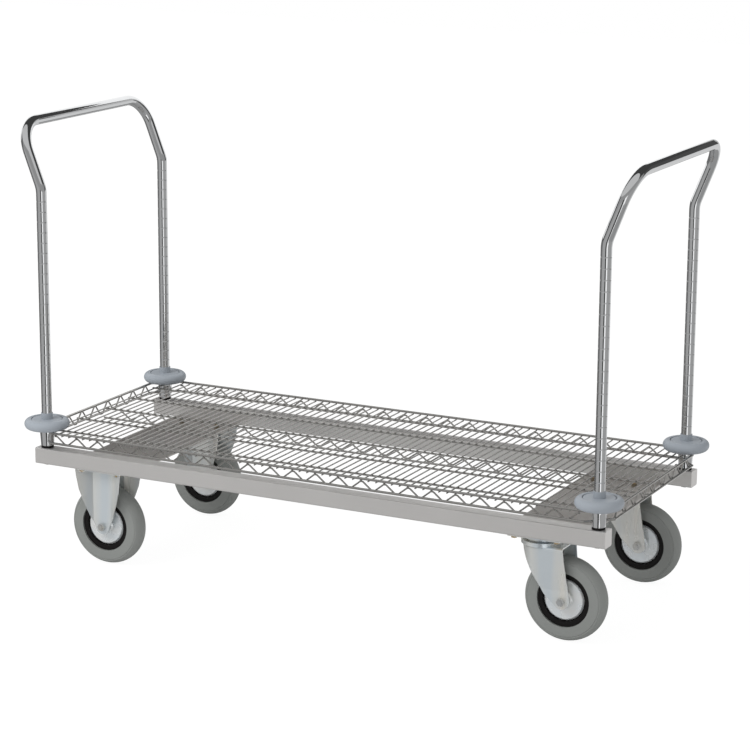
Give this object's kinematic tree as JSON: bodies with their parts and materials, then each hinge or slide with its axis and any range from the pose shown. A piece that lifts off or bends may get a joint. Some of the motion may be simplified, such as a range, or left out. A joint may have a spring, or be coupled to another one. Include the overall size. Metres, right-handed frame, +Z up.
{
  "type": "platform trolley",
  "caption": "Transport trolley with a wire deck on square rails, bent tube handles at the ends, round corner bumpers, and fixed and swivel casters with rubber tyres.",
  "frame": {"origin": "on the floor, under the centre of the deck", "axes": "+X along the deck towards the swivel casters, +Y across to the back, +Z up"},
  "size_m": [1.6154, 0.668, 1.1027],
  "materials": {
    "satin_steel": "satin stainless sheet and tube",
    "zinc_plate": "bright zinc on pressed steel",
    "yellow_zinc": "yellow passivated zinc on steel fasteners",
    "chrome_tube": "bright chrome",
    "chrome_collar": "bright chrome",
    "chrome_wire": "bright plated wire",
    "bumper_plastic": "soft grey plastic with a low sheen",
    "black_plastic": "black, satin",
    "tyre_rubber": "grey rubber, matte"
  },
  "bodies": {
    "frame": {"rail_front": "satin_steel", "rail_back": "satin_steel", "rail_end_caps": "satin_steel", "cross_plate_left": "satin_steel", "cross_plate_right": "satin_steel", "caster_bolts": "yellow_zinc", "caster_nuts": "yellow_zinc", "post_bolts": "zinc_plate", "post_washers": "zinc_plate", "foot_rings": "black_plastic", "post_plugs": "black_plastic", "handle_left": "chrome_tube", "handle_right": "chrome_tube", "corner_collars": "chrome_collar", "split_sleeves": "black_plastic", "edge_wires": "chrome_wire", "edge_snakes": "chrome_wire", "runner_wires": "chrome_wire", "truss_wires": "chrome_wire", "truss_snake": "chrome_wire", "cross_wires": "chrome_wire", "bumper_hubs": "bumper_plastic", "bumper_sleeves": "bumper_plastic", "axle_bolts_left": "zinc_plate", "axle_nuts_left": "zinc_plate", "axle_tubes_left": "zinc_plate", "fixed_fork_lf": "zinc_plate", "fixed_fork_lb": "zinc_plate", "swivel_plates": "zinc_plate", "swivel_races": "zinc_plate", "king_pins": "zinc_plate"},
    "bumper_lf": {"bumper_ring_lf": "bumper_plastic"},
    "bumper_lb": {"bumper_ring_lb": "bumper_plastic"},
    "bumper_rf": {"bumper_ring_rf": "bumper_plastic"},
    "bumper_rb": {"bumper_ring_rb": "bumper_plastic"},
    "swivel_rf": {"swivel_fork_rf": "zinc_plate", "ball_ring_rf": "zinc_plate", "axle_bolt_rf": "zinc_plate", "axle_nut_rf": "zinc_plate", "axle_tube_rf": "zinc_plate"},
    "swivel_rb": {"swivel_fork_rb": "zinc_plate", "ball_ring_rb": "zinc_plate", "axle_bolt_rb": "zinc_plate", "axle_nut_rb": "zinc_plate", "axle_tube_rb": "zinc_plate"},
    "wheel_lf": {"tyre_lf": "tyre_rubber", "rim_lf": "black_plastic", "wheel_discs_lf": "zinc_plate"},
    "wheel_lb": {"tyre_lb": "tyre_rubber", "rim_lb": "black_plastic", "wheel_discs_lb": "zinc_plate"},
    "wheel_rf": {"tyre_rf": "tyre_rubber", "rim_rf": "black_plastic", "wheel_discs_rf": "zinc_plate"},
    "wheel_rb": {"tyre_rb": "tyre_rubber", "rim_rb": "black_plastic", "wheel_discs_rb": "zinc_plate"}
  },
  "joints": [
    {"name": "bumper_turn_lf", "type": "hinge", "parent": "frame", "child": "bumper_lf", "pos_m": [-0.735, -0.278, 0.348], "axis": [0, 0, 1], "continuous": true},
    {"name": "bumper_turn_lb", "type": "hinge", "parent": "frame", "child": "bumper_lb", "pos_m": [-0.735, 0.278, 0.348], "axis": [0, 0, 1], "continuous": true},
    {"name": "bumper_turn_rf", "type": "hinge", "parent": "frame", "child": "bumper_rf", "pos_m": [0.735, -0.278, 0.348], "axis": [0, 0, 1], "continuous": true},
    {"name": "bumper_turn_rb", "type": "hinge", "parent": "frame", "child": "bumper_rb", "pos_m": [0.735, 0.278, 0.348], "axis": [0, 0, 1], "continuous": true},
    {"name": "caster_swivel_rf", "type": "hinge", "parent": "frame", "child": "swivel_rf", "pos_m": [0.583, -0.238, 0.231], "axis": [0, 0, 1], "continuous": true},
    {"name": "caster_swivel_rb", "type": "hinge", "parent": "frame", "child": "swivel_rb", "pos_m": [0.583, 0.238, 0.231], "axis": [0, 0, 1], "continuous": true},
    {"name": "wheel_spin_lf", "type": "hinge", "parent": "frame", "child": "wheel_lf", "pos_m": [-0.583, -0.238, 0.1], "axis": [0, 1, 0], "continuous": true},
    {"name": "wheel_spin_lb", "type": "hinge", "parent": "frame", "child": "wheel_lb", "pos_m": [-0.583, 0.238, 0.1], "axis": [0, 1, 0], "continuous": true},
    {"name": "wheel_spin_rf", "type": "hinge", "parent": "swivel_rf", "child": "wheel_rf", "pos_m": [0.646, -0.238, 0.1], "axis": [0, 1, 0], "continuous": true},
    {"name": "wheel_spin_rb", "type": "hinge", "parent": "swivel_rb", "child": "wheel_rb", "pos_m": [0.646, 0.238, 0.1], "axis": [0, 1, 0], "continuous": true}
  ]
}
